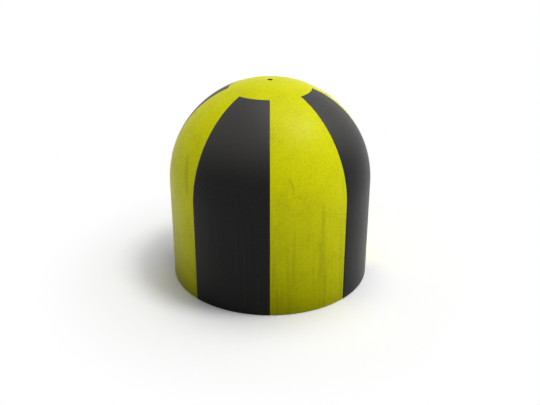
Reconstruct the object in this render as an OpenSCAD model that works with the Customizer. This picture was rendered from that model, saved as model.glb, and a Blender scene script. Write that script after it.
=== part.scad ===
// Free-standing dome-topped bollard: one concrete casting, painted yellow with black warning bands,
// with a threaded lifting socket cast into its top.
// Origin at the centre of the flat underside, +Z up, front towards -Y.

/* [Concrete body] */
// Diameter of the round skirt, and of the half-ball dome on it
body_d = 500; // [400:5:700]
// Height of the straight skirt, from the ground to the foot of the dome
skirt_h = 250; // [150:5:400]
// Radius of the rounded bottom edge
foot_edge_r = 3; // [1:0.5:10]

/* [Black bands] */
// Number of black bands round the body, with a yellow band of the same width after each
band_count = 4; // [2:1:8]
// Thickness of the coat of black paint
band_t = 0.5; // [0.2:0.1:1.5]
// Diameter of the plain yellow round on top, where the bands end
top_round_d = 200; // [80:5:300]
// Height of the bands' lower edge above the ground
band_lift = 1; // [0.5:0.1:3]

/* [Lifting socket] */
// Outer diameter of the socket's barrel
socket_d = 17; // [15:0.5:26]
// Length of the socket, foot included
socket_len = 60; // [55:1:150]
// Diameter of the foot that anchors the socket in the concrete
socket_foot_d = 30; // [26:1:60]
// Thickness of the foot at its rim
socket_foot_t = 5; // [3:0.5:10]
// Height of the cone that joins the foot to the barrel
socket_flare_h = 6; // [3:0.5:15]

/* [Thread] */
// Core diameter of the threaded hole
thread_core_d = 10.2; // [8.5:0.1:12]
// Length of the threaded wall
thread_len = 30; // [20:1:40]
// Diameter of the countersunk mouth at the top
mouth_d = 13; // [12.5:0.1:14.5]
// Full angle of the countersink
mouth_angle = 90; // [60:5:120]
// Full angle of the drilled point at the hole's blind end
drill_angle = 118; // [90:1:140]

/* [Hidden] */
$fn = 144;
body_r = body_d / 2;
front_angle = -90;
band_angle = 180 / band_count;
// Angle at the dome's centre, from the upright axis to the bands' upper edge
band_end_angle = asin(top_round_d / body_d);
// Longer than the body, for shapes that cut past it
past = 2 * (body_d + skirt_h);
// The socket's flat top meets the dome all round at the barrel's edge
socket_top = skirt_h + sqrt(pow(body_r, 2) - pow(socket_d / 2, 2));
socket_bottom = socket_top - socket_len;
mouth_depth = (mouth_d - thread_core_d) / 2 / tan(mouth_angle / 2);
drill_depth = thread_core_d / 2 / tan(drill_angle / 2);
thread_top = socket_top - mouth_depth;
thread_bottom = thread_top - thread_len;

// Half of the body's upright section, with a coat of the given thickness on it
module half_section(coat) {
    outer_r = body_r + coat;
    edge_r = foot_edge_r + coat;
    difference() {
        union() {
            translate([0, -coat]) square([outer_r, skirt_h + coat]);
            translate([0, skirt_h]) intersection() {
                circle(outer_r);
                square(outer_r);
            }
        }
        translate([outer_r - edge_r, -coat]) difference() {
            square(edge_r);
            translate([0, edge_r]) circle(edge_r);
        }
    }
}

// Thin section of one band, from near the ground up to the plain round on top
module band_section() {
    intersection() {
        difference() {
            half_section(band_t);
            half_section(0);
        }
        polygon([
            [0, band_lift],
            [past, band_lift],
            [past, skirt_h + past * cos(band_end_angle)],
            [past * sin(band_end_angle), skirt_h + past * cos(band_end_angle)],
            [0, skirt_h]
        ]);
    }
}

// Outside of the socket, drawn up to the given height: barrel, cone and foot
module socket_form(top) {
    translate([0, 0, socket_bottom]) {
        cylinder(h = socket_foot_t, d = socket_foot_d);
        translate([0, 0, socket_foot_t]) cylinder(h = socket_flare_h, d1 = socket_foot_d, d2 = socket_d);
        cylinder(h = top - socket_bottom, d = socket_d);
    }
}

// Threaded hole at its core diameter, with its countersunk mouth and drilled point
module thread_hole() {
    translate([0, 0, thread_bottom]) cylinder(h = past, d = thread_core_d);
    translate([0, 0, thread_bottom - drill_depth]) cylinder(h = drill_depth, d1 = 0, d2 = thread_core_d);
    translate([0, 0, thread_top]) cylinder(h = mouth_depth, d1 = thread_core_d, d2 = mouth_d);
}

module body() {
    color([0.82, 0.82, 0.08]) difference() {
        rotate_extrude() half_section(0);
        socket_form(past);
    }
}

module black_bands() {
    color([0.12, 0.115, 0.11]) for (i = [0 : band_count - 1]) {
        rotate([0, 0, front_angle + band_angle * (2 * i - 1)])
            rotate_extrude(angle = band_angle) band_section();
    }
}

module lifting_socket() {
    color([0.55, 0.56, 0.57]) difference() {
        socket_form(socket_top);
        thread_hole();
    }
}

body();
black_bands();
lifting_socket();
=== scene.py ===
from math import acos, asin, cos, radians, sqrt, tan, tau
import bmesh
import bpy
from mathutils import Matrix, Vector


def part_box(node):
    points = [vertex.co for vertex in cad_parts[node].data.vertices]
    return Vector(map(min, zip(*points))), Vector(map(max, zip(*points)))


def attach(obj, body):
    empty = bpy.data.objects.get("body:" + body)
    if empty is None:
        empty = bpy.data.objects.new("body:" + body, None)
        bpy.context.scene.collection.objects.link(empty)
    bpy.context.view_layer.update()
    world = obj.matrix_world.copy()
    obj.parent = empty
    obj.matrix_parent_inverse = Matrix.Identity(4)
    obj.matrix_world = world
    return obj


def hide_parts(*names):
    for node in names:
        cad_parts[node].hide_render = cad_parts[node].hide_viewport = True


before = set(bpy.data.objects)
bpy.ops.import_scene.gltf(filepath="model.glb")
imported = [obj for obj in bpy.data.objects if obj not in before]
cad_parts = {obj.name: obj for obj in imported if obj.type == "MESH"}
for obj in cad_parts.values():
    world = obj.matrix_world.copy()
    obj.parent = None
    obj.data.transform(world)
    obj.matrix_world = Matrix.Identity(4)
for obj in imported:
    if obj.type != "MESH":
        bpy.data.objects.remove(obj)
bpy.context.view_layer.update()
scene = bpy.context.scene
scene.view_settings.view_transform = "Standard"
print("frame loaded, nodes:", ", ".join(sorted(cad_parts)))

# All sizes are in metres. The bollard's axis is the upright axis of the world.
upright = Vector((0, 0, 1))
sideways = Vector((0, 1, 0))
centreLine = Vector((0, 0, 0))
frontTurn = radians(-90)    # the side towards the camera, as an angle round the axis from +X
mergeWithin = 1e-6          # points closer together than this are one point
levelWithin = 1e-5          # and heights closer together than this are one height
facesUp = 0.9               # a face whose normal rises by more than this lies flat
white = (1, 1, 1, 1)
black = (0, 0, 0, 1)

# Where the frame has the coat of black paint and the socket
bandsLow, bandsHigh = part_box("black_bands")
socketLow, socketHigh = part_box("lifting_socket")


def startAt(bm, x, z):
    # the first point of an outline, which is drawn beside the axis and then turned round it
    return bmesh.ops.create_vert(bm, co=(x, 0, z))["vert"][0]


def sweepPoint(bm, last, centre, step, angle, steps):
    swept = bmesh.ops.spin(bm, geom=[last], cent=centre, axis=sideways, dvec=step,
                           angle=angle, steps=steps)
    return swept["geom_last"][0]


def lineTo(bm, last, x, z, steps=1):
    # a straight run of the outline, in short lengths
    step = (Vector((x, 0, z)) - last.co) / steps
    return sweepPoint(bm, last, centreLine, step, 0, steps)


def arcTo(bm, last, x, z, angle, steps):
    # a round run of the outline, about the point x, z
    return sweepPoint(bm, last, (x, 0, z), (0, 0, 0), -angle, steps)


def turnOutline(bm, angle, steps, full):
    bmesh.ops.spin(bm, geom=bm.verts[:] + bm.edges[:], cent=centreLine, axis=upright, dvec=(0, 0, 0),
                   angle=angle, steps=steps, use_merge=full)
    bmesh.ops.remove_doubles(bm, verts=bm.verts[:], dist=mergeWithin)
    bmesh.ops.recalc_face_normals(bm, faces=bm.faces[:])


def turnRound(bm, verts, angle):
    bmesh.ops.rotate(bm, verts=verts, cent=centreLine, matrix=Matrix.Rotation(angle, 3, "Z"))


def putInScene(name, data):
    made = bpy.data.objects.new(name, data)
    scene.collection.objects.link(made)
    return made


def finishMesh(bm, name):
    mesh = bpy.data.meshes.new(name)
    bm.to_mesh(mesh)
    bm.free()
    return putInScene(name, mesh)


def makePiece(bm, name, sharpAngle):
    for face in bm.faces:
        face.smooth = True
    piece = finishMesh(bm, name)
    piece.data.set_sharp_from_angle(angle=radians(sharpAngle))
    print(name, "made,", len(piece.data.polygons), "faces")
    return piece


# The casting: a straight round skirt, a half-ball dome and a small rounded foot edge
casting = {
    "coat": 0.0005,         # the black paint stands this far off the yellow
    "skirtHeight": 0.250,
    "footEdge": 0.003,
    "sharpAngle": 35,       # degrees: a sharper edge isn't shaded smooth
    "roundSteps": 256,      # steps round the axis, a whole number for each band
    "skirtSteps": 64,
    "domeSteps": 96,
    "footSteps": 6,
    "undersideSteps": 12,
}
casting["radius"] = bandsHigh.x - casting["coat"]


def makeCasting():
    c = casting
    footCentre = c["radius"] - c["footEdge"]
    bm = bmesh.new()
    last = startAt(bm, 0, 0)
    last = lineTo(bm, last, footCentre, 0, c["undersideSteps"])
    last = arcTo(bm, last, footCentre, c["footEdge"], radians(90), c["footSteps"])
    last = lineTo(bm, last, c["radius"], c["skirtHeight"], c["skirtSteps"])
    last = arcTo(bm, last, 0, c["skirtHeight"], acos(socket["barrel"] / c["radius"]), c["domeSteps"])
    seatOutline(bm, last)
    turnOutline(bm, tau, c["roundSteps"], full=True)
    return makePiece(bm, "painted_casting", c["sharpAngle"])


# The bands: a coat of black paint from just above the ground up to the plain round on top
bands = {
    "count": 4,
    "topRound": 0.100,      # radius of the plain yellow round
    "lift": bandsLow.z,     # the coat starts this far above the ground
    "sunk": 0.0001,         # how far the coat bites into the yellow under it
    "edgeRound": 0.00018,   # the soft edge that the brush leaves
    "edgeSteps": 2,
    "edgeAngle": 60,        # degrees: only a sharper edge is softened
    "sharpAngle": 35,
    "footSteps": 3,
    "domeSteps": 72,
}


def makeBands():
    c = casting
    b = bands
    bandAngle = tau / (2 * b["count"])
    footCentre = c["radius"] - c["footEdge"]
    footRadius = c["footEdge"] + c["coat"]
    footAngle = asin((c["footEdge"] - b["lift"]) / footRadius)
    bm = bmesh.new()
    last = startAt(bm, footCentre + footRadius * cos(footAngle), b["lift"])
    last = arcTo(bm, last, footCentre, c["footEdge"], footAngle, b["footSteps"])
    last = lineTo(bm, last, c["radius"] + c["coat"], c["skirtHeight"], c["skirtSteps"])
    arcTo(bm, last, 0, c["skirtHeight"], acos(b["topRound"] / c["radius"]), b["domeSteps"])
    # the first band ends at the front line, on its left, and the others are copies of it
    turnRound(bm, bm.verts[:], frontTurn - bandAngle)
    turnOutline(bm, bandAngle, c["roundSteps"] // (2 * b["count"]), full=False)
    if sum(f.normal.dot(f.calc_center_median()) for f in bm.faces) < 0:
        bmesh.ops.reverse_faces(bm, faces=bm.faces[:])
    first = bm.verts[:] + bm.edges[:] + bm.faces[:]
    for i in range(1, b["count"]):
        copy = bmesh.ops.duplicate(bm, geom=first)["geom"]
        turnRound(bm, [g for g in copy if isinstance(g, bmesh.types.BMVert)], 2 * bandAngle * i)
    piece = makePiece(bm, "black_paint_bands", b["sharpAngle"])
    coat = piece.modifiers.new("coat", "SOLIDIFY")
    coat.thickness = c["coat"] + b["sunk"]
    coat.offset = -1
    coat.use_even_offset = True
    edge = piece.modifiers.new("edge", "BEVEL")
    edge.width = b["edgeRound"]
    edge.segments = b["edgeSteps"]
    edge.limit_method = "ANGLE"
    edge.angle_limit = radians(b["edgeAngle"])
    return piece


# The socket: a turned steel barrel with a flared foot and a tapped hole
socket = {
    "barrel": 0.0085,       # this and the next three are radii
    "mouth": 0.0065,
    "threadRoot": 0.0060,
    "threadCore": 0.0051,
    "pitch": 0.00175,
    "threadLength": 0.030,
    "footThickness": 0.005,
    "flareHeight": 0.006,
    "runOut": 0.002,        # plain bore under the last turn
    "drillAngle": 118,      # degrees
    "toothBase": 0.44,      # half of a tooth's width at its foot, as a share of the pitch
    "toothCrest": 0.125,    # and at its crest
    "toothSunk": 0.0001,    # how far its foot bites into the wall of the bore
    "toothSteps": 48,       # steps in one turn of the thread
    "roundSteps": 64,
    "sharpAngle": 30,
    "foot": socketHigh.x,
    "bottom": socketLow.z,
}
socket["top"] = casting["skirtHeight"] + sqrt(casting["radius"] ** 2 - socket["barrel"] ** 2)


def seatOutline(bm, last):
    # from the rim on top down the barrel, out to the foot and in to the axis, where steel meets concrete
    footTop = socket["bottom"] + socket["footThickness"]
    last = lineTo(bm, last, socket["barrel"], footTop + socket["flareHeight"])
    last = lineTo(bm, last, socket["foot"], footTop)
    last = lineTo(bm, last, socket["foot"], socket["bottom"])
    return lineTo(bm, last, 0, socket["bottom"])


def makeSocket():
    s = socket
    threadTop = s["top"] - (s["mouth"] - s["threadCore"])
    threadEnd = threadTop - s["threadLength"]
    rootStart = threadEnd + s["runOut"]
    bm = bmesh.new()
    last = startAt(bm, 0, threadEnd - s["threadCore"] / tan(radians(s["drillAngle"] / 2)))
    last = lineTo(bm, last, s["threadCore"], threadEnd)
    last = lineTo(bm, last, s["threadCore"], rootStart)
    last = lineTo(bm, last, s["threadRoot"], rootStart + s["threadRoot"] - s["threadCore"])
    last = lineTo(bm, last, s["threadRoot"], s["top"] - (s["mouth"] - s["threadRoot"]))
    last = lineTo(bm, last, s["mouth"], s["top"])
    last = lineTo(bm, last, s["barrel"], s["top"])
    seatOutline(bm, last)
    turnOutline(bm, tau, s["roundSteps"], full=True)
    for face in bm.faces:
        if face.normal.z > facesUp and face.calc_center_median().z > s["top"] - levelWithin:
            face.material_index = 1  # the rim on top, painted over with the casting
    cutThread(bm, rootStart + s["pitch"], threadTop)
    return makePiece(bm, "steel_lifting_socket", s["sharpAngle"])


def cutThread(bm, low, high):
    # one tooth, turned and lifted step by step into a coil that stands on the bore's wall
    s = socket
    baseHalf = s["pitch"] * s["toothBase"]
    crestHalf = s["pitch"] * s["toothCrest"]
    base = s["threadRoot"] + s["toothSunk"]
    crest = s["threadCore"]
    steps = int((high - low - 2 * baseHalf) / s["pitch"] * s["toothSteps"])
    corners = ((base, -baseHalf), (crest, -crestHalf), (crest, crestHalf), (base, baseHalf))
    tooth = bm.faces.new([startAt(bm, x, low + baseHalf + z) for x, z in corners])
    plain = set(bm.faces)
    bmesh.ops.spin(bm, geom=[tooth], cent=centreLine, axis=upright,
                   dvec=(0, 0, s["pitch"] / s["toothSteps"]), angle=tau * steps / s["toothSteps"],
                   steps=steps, use_duplicate=False)
    coil = [f for f in bm.faces if f not in plain or f == tooth]
    bmesh.ops.recalc_face_normals(bm, faces=coil)


def feed(tree, node, inputs):
    # a value or a link for each input named
    for name, value in inputs.items():
        if isinstance(value, bpy.types.NodeSocket):
            tree.links.new(value, node.inputs[name])
        else:
            node.inputs[name].default_value = value
    return node


def add(tree, kind, inputs=None, **settings):
    # one node, with its settings first, because they can change which inputs it has
    made = tree.nodes.new("ShaderNode" + kind)
    for name, value in settings.items():
        setattr(made, name, value)
    return feed(tree, made, inputs or {})


def use(tree, group, inputs):
    # one of the shared effects, placed in a material
    return add(tree, "Group", inputs, node_tree=group).outputs


def calc(tree, operation, *values, clamp=False):
    return add(tree, "Math", dict(enumerate(values)), operation=operation, use_clamp=clamp).outputs[0]


def fade(tree, value, fromLow, fromHigh, toLow=0.0, toHigh=1.0):
    # goes smoothly from toLow to toHigh while the value goes from fromLow to fromHigh
    return add(tree, "MapRange", {"Value": value, "From Min": fromLow, "From Max": fromHigh,
                                  "To Min": toLow, "To Max": toHigh},
               interpolation_type="SMOOTHSTEP").outputs["Result"]


def noise(tree, place, size, detail=2.0, roughness=0.5):
    # soft random values whose patches are about as wide as size
    return add(tree, "TexNoise", {"Vector": place, "Scale": 1 / size, "Detail": detail,
                                  "Roughness": roughness}).outputs[0]


def blend(tree, factor, first, second):
    made = add(tree, "Mix", {0: factor, 6: first, 7: second}, data_type="RGBA", clamp_factor=True)
    return made.outputs[2]


def makeGroup(name, inputs, outputs):
    # an input given as None is a place, and any other is a number that starts at the value given
    group = bpy.data.node_groups.new(name, "ShaderNodeTree")
    for title, value in inputs.items():
        kind = "NodeSocketVector" if value is None else "NodeSocketFloat"
        made = group.interface.new_socket(name=title, in_out="INPUT", socket_type=kind)
        if value is not None:
            made.default_value = value
    for title in outputs:
        group.interface.new_socket(name=title, in_out="OUTPUT", socket_type="NodeSocketFloat")
    return group, group.nodes.new("NodeGroupInput").outputs, group.nodes.new("NodeGroupOutput")


# What shows through paint on cast concrete. Here and below, a noise is given by its size, detail and
# roughness, and a fade by where it starts and ends, followed by what it gives there if not 0 and 1.
castTexture = {
    "inputs": {
        "Place": None,
        "Grain": 0.00016,   # height of the grain
        "Nap": 0.0003,      # and of the roller's nap
        "Pinhole": 0.0007,  # radius of a pinhole
    },
    "grain": {"size": 0.0022, "detail": 3},
    "nap": {"size": 0.020, "detail": 2},
    "grit": {"size": 0.0038, "detail": 6, "roughness": 0.85},
    "gritFade": (0.42, 0.68),
    "gritDepth": 0.00006,
    "patches": {"size": 0.050, "detail": 3, "roughness": 0.6},
    "specks": {"size": 0.004, "detail": 3, "roughness": 0.7},
    "patchShare": 0.5,      # of the mottle, and the rest is specks
    "pinholeSpacing": 0.015,
    "pinholeDepth": 0.0004,
    "pinholeFloor": 0.4,    # share of its radius at which a pinhole is at its deepest
    "rim": {"size": 0.0012, "detail": 1},
    "rimWander": 0.0008,    # how far a pinhole's rim strays, in all
}


def makeCastSurface():
    t = castTexture
    group, given, put = makeGroup("castSurface", t["inputs"], ("Height", "Pinholes", "Mottle", "Grit"))
    place = given["Place"]
    grain = noise(group, place, **t["grain"])
    nap = noise(group, place, **t["nap"])
    grit = fade(group, noise(group, place, **t["grit"]), *t["gritFade"])
    spacing = t["pinholeSpacing"]
    cells = add(group, "TexVoronoi", {"Vector": place, "Scale": 1 / spacing}).outputs["Distance"]
    rim = noise(group, place, **t["rim"])
    rim = calc(group, "MULTIPLY_ADD", rim, t["rimWander"], -t["rimWander"] / 2)
    deepest = calc(group, "MULTIPLY", given["Pinhole"], t["pinholeFloor"])
    holes = fade(group, calc(group, "MULTIPLY_ADD", cells, spacing, rim), given["Pinhole"], deepest)
    height = calc(group, "MULTIPLY", grain, given["Grain"])
    height = calc(group, "MULTIPLY_ADD", nap, given["Nap"], height)
    height = calc(group, "MULTIPLY_ADD", holes, -t["pinholeDepth"], height)
    height = calc(group, "MULTIPLY_ADD", grit, -t["gritDepth"], height)
    patches = calc(group, "MULTIPLY", noise(group, place, **t["patches"]), t["patchShare"])
    specks = calc(group, "MULTIPLY", noise(group, place, **t["specks"]), 1 - t["patchShare"])
    mottle = calc(group, "ADD", patches, specks)
    feed(group, put, {"Height": height, "Pinholes": holes, "Mottle": mottle, "Grit": grit})
    return group


# Long soft streaks that run down the side, spread evenly round the axis
streakTexture = {
    "inputs": {"Place": None, "Width": 0.006, "Length": 0.15, "Shift": 0.0},
    "noise": {"size": 1.0, "detail": 3, "roughness": 0.55},  # measured in widths and lengths of a streak
}


def makeUprightStreaks():
    t = streakTexture
    group, given, put = makeGroup("uprightStreaks", t["inputs"], ("Streaks",))
    place = add(group, "SeparateXYZ", {0: given["Place"]}).outputs
    flat = add(group, "CombineXYZ", {"X": place["X"], "Y": place["Y"]}).outputs[0]
    around = add(group, "VectorMath", {0: flat}, operation="NORMALIZE").outputs[0]
    widths = calc(group, "DIVIDE", casting["radius"], given["Width"])
    around = add(group, "VectorMath", {0: around, "Scale": widths}, operation="SCALE").outputs[0]
    lengths = calc(group, "ADD", calc(group, "DIVIDE", place["Z"], given["Length"]), given["Shift"])
    down = add(group, "CombineXYZ", {"Z": lengths}).outputs[0]
    wrapped = add(group, "VectorMath", {0: around, 1: down}, operation="ADD").outputs[0]
    feed(group, put, {"Streaks": noise(group, wrapped, **t["noise"])})
    return group


# One mark on the side: where it sits round the axis and up the side, how long, wide, slanted and broken
markTexture = {
    "inputs": {"Place": None, "Turn": 0.0, "Height": 0.2, "Length": 0.05, "Width": 0.004, "Lean": 0.0,
               "Broken": 0.0},
    "wander": {"size": 0.030, "detail": 2},
    "wanderBy": 0.006,      # how far a mark strays, in all
    "endShare": 0.5,        # share of its length, from its middle, at which a mark ends
    "fullShare": 0.2,       # and up to which it has its full strength
    "specks": {"size": 0.005, "detail": 3, "roughness": 0.6},
    "speckFade": (0.42, 0.56),
}


def makeSideMark():
    t = markTexture
    group, given, put = makeGroup("sideMark", t["inputs"], ("Mark",))
    back = calc(group, "MULTIPLY", given["Turn"], -1.0)
    ahead = add(group, "VectorRotate", {"Vector": given["Place"], "Angle": back}, rotation_type="Z_AXIS")
    place = add(group, "SeparateXYZ", {0: ahead.outputs[0]}).outputs
    above = calc(group, "SUBTRACT", place["Z"], given["Height"])
    wander = noise(group, given["Place"], **t["wander"])
    wander = calc(group, "MULTIPLY_ADD", wander, t["wanderBy"], -t["wanderBy"] / 2)
    aside = calc(group, "SUBTRACT", place["X"], calc(group, "MULTIPLY", above, given["Lean"]))
    aside = calc(group, "ADD", aside, wander)
    across = fade(group, calc(group, "ABSOLUTE", aside), given["Width"], 0.0)
    end = calc(group, "MULTIPLY", given["Length"], t["endShare"])
    full = calc(group, "MULTIPLY", given["Length"], t["fullShare"])
    along = fade(group, calc(group, "ABSOLUTE", above), end, full)
    specks = fade(group, noise(group, given["Place"], **t["specks"]), *t["speckFade"])
    kept = add(group, "Mix", {0: given["Broken"], 2: 1.0, 3: specks}).outputs[0]
    mark = calc(group, "MULTIPLY", calc(group, "MULTIPLY", across, along), kept)
    facing = calc(group, "LESS_THAN", place["Y"], 0.0)  # nothing on the far side of the axis
    feed(group, put, {"Mark": calc(group, "MULTIPLY", mark, facing)})
    return group


castSurface = makeCastSurface()
uprightStreaks = makeUprightStreaks()
sideMark = makeSideMark()


def newMaterial(name, shown):
    material = bpy.data.materials.new(name)
    material.use_nodes = True
    material.diffuse_color = shown
    tree = material.node_tree
    shader = tree.nodes["Principled BSDF"]
    return material, tree, shader, add(tree, "TexCoord").outputs["Object"]


def finishShader(tree, shader, colour, roughness, height, plain):
    # the height is in metres, so the bump's own distance is 1, and what is plain is the same all over
    bump = add(tree, "Bump", {"Height": height, "Strength": 1.0, "Distance": 1.0}).outputs["Normal"]
    feed(tree, shader, {"Base Color": colour, "Roughness": roughness, "Normal": bump, **plain})


# Yellow paint on the concrete. A mark's turn is in degrees from the front, to the right.
yellowPaint = {
    "clean": (0.71, 0.71, 0.002, 1),
    "grimeAndShadeColour": (0.36, 0.355, 0.006, 1),
    "faded": (0.74, 0.74, 0.012, 1),
    "pinholeShade": (0.16, 0.16, 0.01, 1),
    "gloss": 0.06,
    "glossTint": (1, 1, 0.75, 1),
    "roughness": 0.34,
    "roughMottle": 0.12,    # how much the roughness varies with the mottle, in all
    "roughGrime": 0.1,      # and how much rougher full grime is
    "dullDome": (0.21, 0.33, 0, 0.08),      # the weathered dome is rougher, over these heights
    "wideStreaks": {"Width": 0.014, "Length": 0.35},
    "wideGrime": (0.48, 0.75, 0, 0.38),
    "thinStreaks": {"Width": 0.007, "Length": 0.20, "Shift": 7.0},
    "thinGrime": (0.50, 0.78, 0, 0.30),
    "streakSide": (0.30, 0.09),             # over these heights the streaks come in, from the dome down; the darkening is dirt and partly painted shade
    "mottleGrime": (0.46, 0.70, 0, 0.26),
    "gritGrime": 0.46,
    "fadedStreaks": (0.46, 0.28),
    "fadedSide": (0.2, 0.05, 0, 0.5),       # and over these heights the paint has faded between them
    "marks": (
        # soft runs of dirt, one above the other, to the right of the middle
        dict(turn=28.9, height=0.235, length=0.110, width=0.009, lean=0.02, broken=0.4, depth=0.34),
        dict(turn=27.8, height=0.135, length=0.150, width=0.009, lean=0.04, broken=0.3, depth=0.28),
        # a short scratch at the foot of the dome, and a fainter one under it
        dict(turn=11.9, height=0.326, length=0.034, width=0.0024, lean=-0.40, broken=0.5, depth=0.75),
        dict(turn=12.9, height=0.300, length=0.030, width=0.0024, lean=-0.40, broken=0.9, depth=0.35),
        # a broad stain on the left
        dict(turn=-53.0, height=0.312, length=0.120, width=0.013, lean=-0.30, broken=0.2, depth=0.34),
        # thin upright runs
        dict(turn=13.0, height=0.150, length=0.190, width=0.004, lean=0.0, broken=0.3, depth=0.25),
        dict(turn=24.0, height=0.115, length=0.160, width=0.004, lean=0.0, broken=0.3, depth=0.25),
        dict(turn=43.0, height=0.296, length=0.070, width=0.004, lean=0.0, broken=0.3, depth=0.25),
    ),
}

# Bare concrete underneath, where the casting stood in its mould
concrete = {
    "light": (0.36, 0.34, 0.31, 1),
    "dark": (0.22, 0.21, 0.19, 1),
    "mottle": (0.35, 0.65),
    "rougher": 0.3,
    "paintLine": (0.0008, 0.0002),          # the paint ends between these heights, on the rounded edge
}


def makeYellowPaint():
    y = yellowPaint
    material, tree, shader, place = newMaterial("yellow_paint", y["clean"])
    height = add(tree, "SeparateXYZ", {0: place}).outputs["Z"]
    surface = use(tree, castSurface, {"Place": place})
    wide = use(tree, uprightStreaks, {"Place": place, **y["wideStreaks"]})["Streaks"]
    thin = use(tree, uprightStreaks, {"Place": place, **y["thinStreaks"]})["Streaks"]
    grimeAndShade = calc(tree, "ADD", fade(tree, wide, *y["wideGrime"]), fade(tree, thin, *y["thinGrime"]))
    # the streaks grow stronger towards the ground, so the skirt darkens downwards: dirt runs, and partly
    # painted shade
    grimeAndShade = calc(tree, "MULTIPLY", grimeAndShade, fade(tree, height, *y["streakSide"]))
    grimeAndShade = calc(tree, "ADD", grimeAndShade, fade(tree, surface["Mottle"], *y["mottleGrime"]))
    grimeAndShade = calc(tree, "MULTIPLY_ADD", surface["Grit"], y["gritGrime"], grimeAndShade)
    for m in y["marks"]:
        mark = use(tree, sideMark, {"Place": place, "Turn": radians(m["turn"]), "Height": m["height"],
                                    "Length": m["length"], "Width": m["width"], "Lean": m["lean"],
                                    "Broken": m["broken"]})["Mark"]
        grimeAndShade = calc(tree, "MULTIPLY_ADD", mark, m["depth"], grimeAndShade)
    light = fade(tree, thin, *y["fadedStreaks"])
    light = calc(tree, "MULTIPLY", light, fade(tree, height, *y["fadedSide"]))
    colour = blend(tree, light, y["clean"], y["faded"])
    colour = blend(tree, grimeAndShade, colour, y["grimeAndShadeColour"])
    # painted shade: the pinholes are coloured dark inside, where a real hole lies in shade
    colour = blend(tree, surface["Pinholes"], colour, y["pinholeShade"])
    bare = fade(tree, height, *concrete["paintLine"])
    stone = fade(tree, surface["Mottle"], *concrete["mottle"])
    colour = blend(tree, bare, colour, blend(tree, stone, concrete["dark"], concrete["light"]))
    least = y["roughness"] - y["roughMottle"] / 2
    roughness = calc(tree, "MULTIPLY_ADD", surface["Mottle"], y["roughMottle"], least)
    roughness = calc(tree, "ADD", fade(tree, height, *y["dullDome"]), roughness)
    roughness = calc(tree, "MULTIPLY_ADD", bare, concrete["rougher"], roughness)
    roughness = calc(tree, "MULTIPLY_ADD", grimeAndShade, y["roughGrime"], roughness, clamp=True)
    finishShader(tree, shader, colour, roughness, surface["Height"],
                 {"Specular IOR Level": y["gloss"], "Specular Tint": y["glossTint"]})
    return material


# Black paint over the yellow, dusty in streaks down the side, with a painted sheen that lightens it on
# top
blackPaint = {
    "clean": (0.0066, 0.0063, 0.0061, 1),
    "dustAndSheenColour": (0.045, 0.0435, 0.042, 1),
    "gloss": 0.12,
    "roughness": 0.37,
    "roughMottle": 0.10,
    "roughDust": 0.1,
    "grain": 0.00014,
    "thinStreaks": {"Width": 0.007, "Length": 0.30, "Shift": 3.0},
    "thinDust": (0.50, 0.75, 0, 0.15),
    "streakSide": (0.32, 0.15),             # over these heights the streaks come in, from the dome down
    "mottleDust": (0.50, 0.75, 0, 0.06),
    "gritDust": 0.17,
    "paintedSheenDome": (0.32, 0.43, 0, 0.9),     # over these heights the black is made lighter, the higher up: a painted sheen
}


def makeBlackPaint():
    b = blackPaint
    material, tree, shader, place = newMaterial("black_paint", b["clean"])
    height = add(tree, "SeparateXYZ", {0: place}).outputs["Z"]
    surface = use(tree, castSurface, {"Place": place, "Grain": b["grain"]})
    thin = use(tree, uprightStreaks, {"Place": place, **b["thinStreaks"]})["Streaks"]
    dustAndSheen = calc(tree, "MULTIPLY", fade(tree, thin, *b["thinDust"]), fade(tree, height, *b["streakSide"]))
    dustAndSheen = calc(tree, "ADD", dustAndSheen, fade(tree, surface["Mottle"], *b["mottleDust"]))
    dustAndSheen = calc(tree, "MULTIPLY_ADD", surface["Grit"], b["gritDust"], dustAndSheen)
    # painted sheen: the black grows lighter towards the top of the dome, in place of the light reflected
    # there
    dustAndSheen = calc(tree, "ADD", dustAndSheen, fade(tree, height, *b["paintedSheenDome"]))
    colour = blend(tree, dustAndSheen, b["clean"], b["dustAndSheenColour"])
    least = b["roughness"] - b["roughMottle"] / 2
    roughness = calc(tree, "MULTIPLY_ADD", surface["Mottle"], b["roughMottle"], least)
    roughness = calc(tree, "MULTIPLY_ADD", dustAndSheen, b["roughDust"], roughness)
    finishShader(tree, shader, colour, roughness, surface["Height"], {"Specular IOR Level": b["gloss"]})
    return material


# Turned steel, dark partly with old grease and rust and partly as painted shade for the bore
socketSteel = {
    "bright": (0.17, 0.17, 0.175, 1),
    "stainedAndShaded": (0.030, 0.022, 0.016, 1),
    "roughness": 0.38,
    "roughStain": 0.25,     # how much rougher a full stain is
    "stainAndShade": {"size": 0.004, "detail": 3, "roughness": 0.6},
    "stainFade": (0.35, 0.60, 0.2, 1),
    "rings": {"size": 0.0003, "detail": 3},
    "ringStretch": (0.05, 0.05, 1),         # draws the noise out into rings, as the tool leaves them
    "ringHeight": 0.000006,
}


def makeSocketSteel():
    s = socketSteel
    material, tree, shader, place = newMaterial("socket_steel", s["bright"])
    level = add(tree, "Mapping", {"Vector": place, "Scale": s["ringStretch"]}).outputs[0]
    height = calc(tree, "MULTIPLY", noise(tree, level, **s["rings"]), s["ringHeight"])
    stainAndShade = fade(tree, noise(tree, place, **s["stainAndShade"]), *s["stainFade"])
    # the dark steel is partly grease and rust and partly painted shade, so the bore reads dark
    colour = blend(tree, stainAndShade, s["bright"], s["stainedAndShaded"])
    roughness = calc(tree, "MULTIPLY_ADD", stainAndShade, s["roughStain"], s["roughness"])
    finishShader(tree, shader, colour, roughness, height, {"Metallic": 1.0})
    return material


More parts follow.
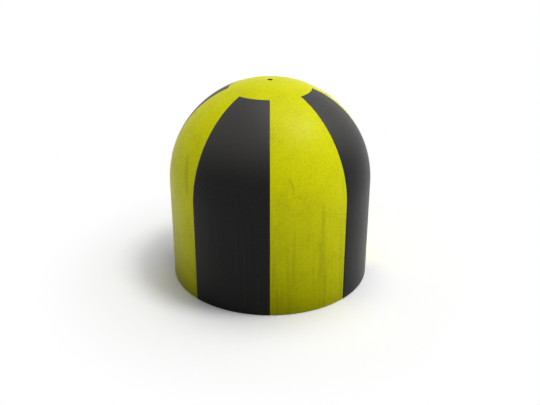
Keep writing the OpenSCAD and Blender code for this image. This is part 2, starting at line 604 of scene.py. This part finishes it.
castingPiece = makeCasting()
bandsPiece = makeBands()
socketPiece = makeSocket()
yellow = makeYellowPaint()
castingPiece.data.materials.append(yellow)
bandsPiece.data.materials.append(makeBlackPaint())
socketPiece.data.materials.append(makeSocketSteel())
socketPiece.data.materials.append(yellow)
print("finishes made")

for piece, node, slot in ((castingPiece, "body", "yellow_paint"),
                          (bandsPiece, "black_bands", "black_paint"),
                          (socketPiece, "lifting_socket", "socket_steel")):
    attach(piece, "root")
    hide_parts(node)


def seenRays(tree):
    # 1 for what is looked at, also in a gloss or through glass, and 0 for light that falls on matt things
    path = add(tree, "LightPath").outputs
    seen = calc(tree, "MAXIMUM", path["Is Camera Ray"], path["Is Glossy Ray"])
    return calc(tree, "MAXIMUM", seen, path["Is Transmission Ray"])


# The floor: white to the eye with the bollard's shadow on it. The light that it gives back to the bollard
# is set apart from that. The fades go by the distance from the axis.
floor = {
    "radius": 14.0,
    "roundSteps": 96,
    "colour": (0.98, 0.98, 0.98, 1),
    "whiteNear": 0.10,      # white added near the bollard, where the lamps give the rest
    "whiteFar": 1.0,        # and far off, where it is all of the white
    "whiteFade": (0.27, 0.62),
    "bounceFade": (0.22, 0.90, 0.05, 1.2),  # light given back, little from beside the foot
}


def makeFloor():
    f = floor
    bm = bmesh.new()
    bmesh.ops.create_circle(bm, cap_ends=True, segments=f["roundSteps"], radius=f["radius"])
    ground = finishMesh(bm, "floor")
    material = bpy.data.materials.new("floor")
    material.use_nodes = True
    tree = material.node_tree
    tree.nodes.remove(tree.nodes["Principled BSDF"])
    place = add(tree, "TexCoord").outputs["Object"]
    away = add(tree, "VectorMath", {0: place}, operation="LENGTH").outputs["Value"]
    far = fade(tree, away, *f["whiteFade"])
    added = calc(tree, "MULTIPLY_ADD", far, f["whiteFar"] - f["whiteNear"], f["whiteNear"])
    glow = add(tree, "Emission", {"Strength": added}).outputs[0]
    lit = add(tree, "BsdfDiffuse", {"Color": f["colour"]}).outputs[0]
    unlit = add(tree, "BsdfDiffuse", {"Color": black}).outputs[0]
    matt = add(tree, "MixShader", {0: far, 1: lit, 2: unlit}).outputs[0]
    shown = add(tree, "AddShader", {0: matt, 1: glow}).outputs[0]
    bounce = add(tree, "Emission", {"Strength": fade(tree, away, *f["bounceFade"])}).outputs[0]
    both = add(tree, "MixShader", {0: seenRays(tree), 1: bounce, 2: shown}).outputs[0]
    feed(tree, tree.nodes["Material Output"], {"Surface": both})
    ground.data.materials.append(material)


# The light: a small lamp whose reflection is the pale spot on the dome, a key lamp beside it, a broad
# soft one almost overhead, and a long low panel on the right
glintLamp = {
    "shape": "DISK",
    "place": (1.50, -0.32, 2.86),
    "aim": (0, 0, 0.30),
    "width": 0.4,
    "power": 118,
    "onMatt": False,        # it shows in the gloss and lights nothing else
}
keyLamp = {
    "shape": "DISK",
    "place": (0.95, -0.33, 3.12),
    "aim": (0, 0, 0.30),
    "width": 0.8,
    "power": 38,
    "inGloss": False,       # it lights without showing in the gloss
}
softbox = {
    "shape": "DISK",
    "place": (0.22, 0.39, 3.47),
    "aim": (0, 0, 0.30),
    "width": 1.8,
    "power": 45,
}
sidePanel = {
    "shape": "RECTANGLE",
    "place": (2.60, 0.14, 0.41),
    "aim": (0, 0, 0.41),
    "width": 5.2,
    "height": 0.8,
    "power": 37,
    "inGloss": False,
}
roomLight = 0.12            # what an even, dim room adds to the lamps, where 1 is white
backdropLight = 1.0         # and what is seen of the room


def makeLamp(name, values):
    lamp = bpy.data.lights.new(name, "AREA")
    lamp.shape = values["shape"]
    lamp.size = values["width"]
    lamp.size_y = values.get("height", values["width"])
    lamp.energy = values["power"]
    holder = putInScene(name, lamp)
    holder.visible_diffuse = values.get("onMatt", True)
    holder.visible_glossy = values.get("inGloss", True)
    holder.location = values["place"]
    holder.rotation_euler = (Vector(values["aim"]) - holder.location).to_track_quat("-Z", "Y").to_euler()


def makeRoom():
    world = bpy.data.worlds.new("room")
    world.use_nodes = True
    scene.world = world
    tree = world.node_tree
    room = add(tree, "Background", {"Color": white, "Strength": roomLight}).outputs[0]
    backdrop = add(tree, "Background", {"Color": white, "Strength": backdropLight}).outputs[0]
    both = add(tree, "MixShader", {0: seenRays(tree), 1: room, 2: backdrop}).outputs[0]
    feed(tree, tree.nodes["World Output"], {"Surface": both})


# The camera stands in front, a little under twice the bollard's height above the ground, and looks down
view = {
    "lens": 50,
    "place": (0, -1.7425, 0.9770),
    "pitch": 24.625,        # degrees below level
}


def makeCamera():
    data = bpy.data.cameras.new("camera")
    data.lens = view["lens"]
    camera = putInScene("camera", data)
    camera.location = view["place"]
    camera.rotation_euler = (radians(90 - view["pitch"]), 0, 0)
    scene.camera = camera


makeFloor()
makeLamp("glint lamp", glintLamp)
makeLamp("key lamp", keyLamp)
makeLamp("softbox", softbox)
makeLamp("side panel", sidePanel)
makeRoom()
makeCamera()
print("floor, light and camera set")
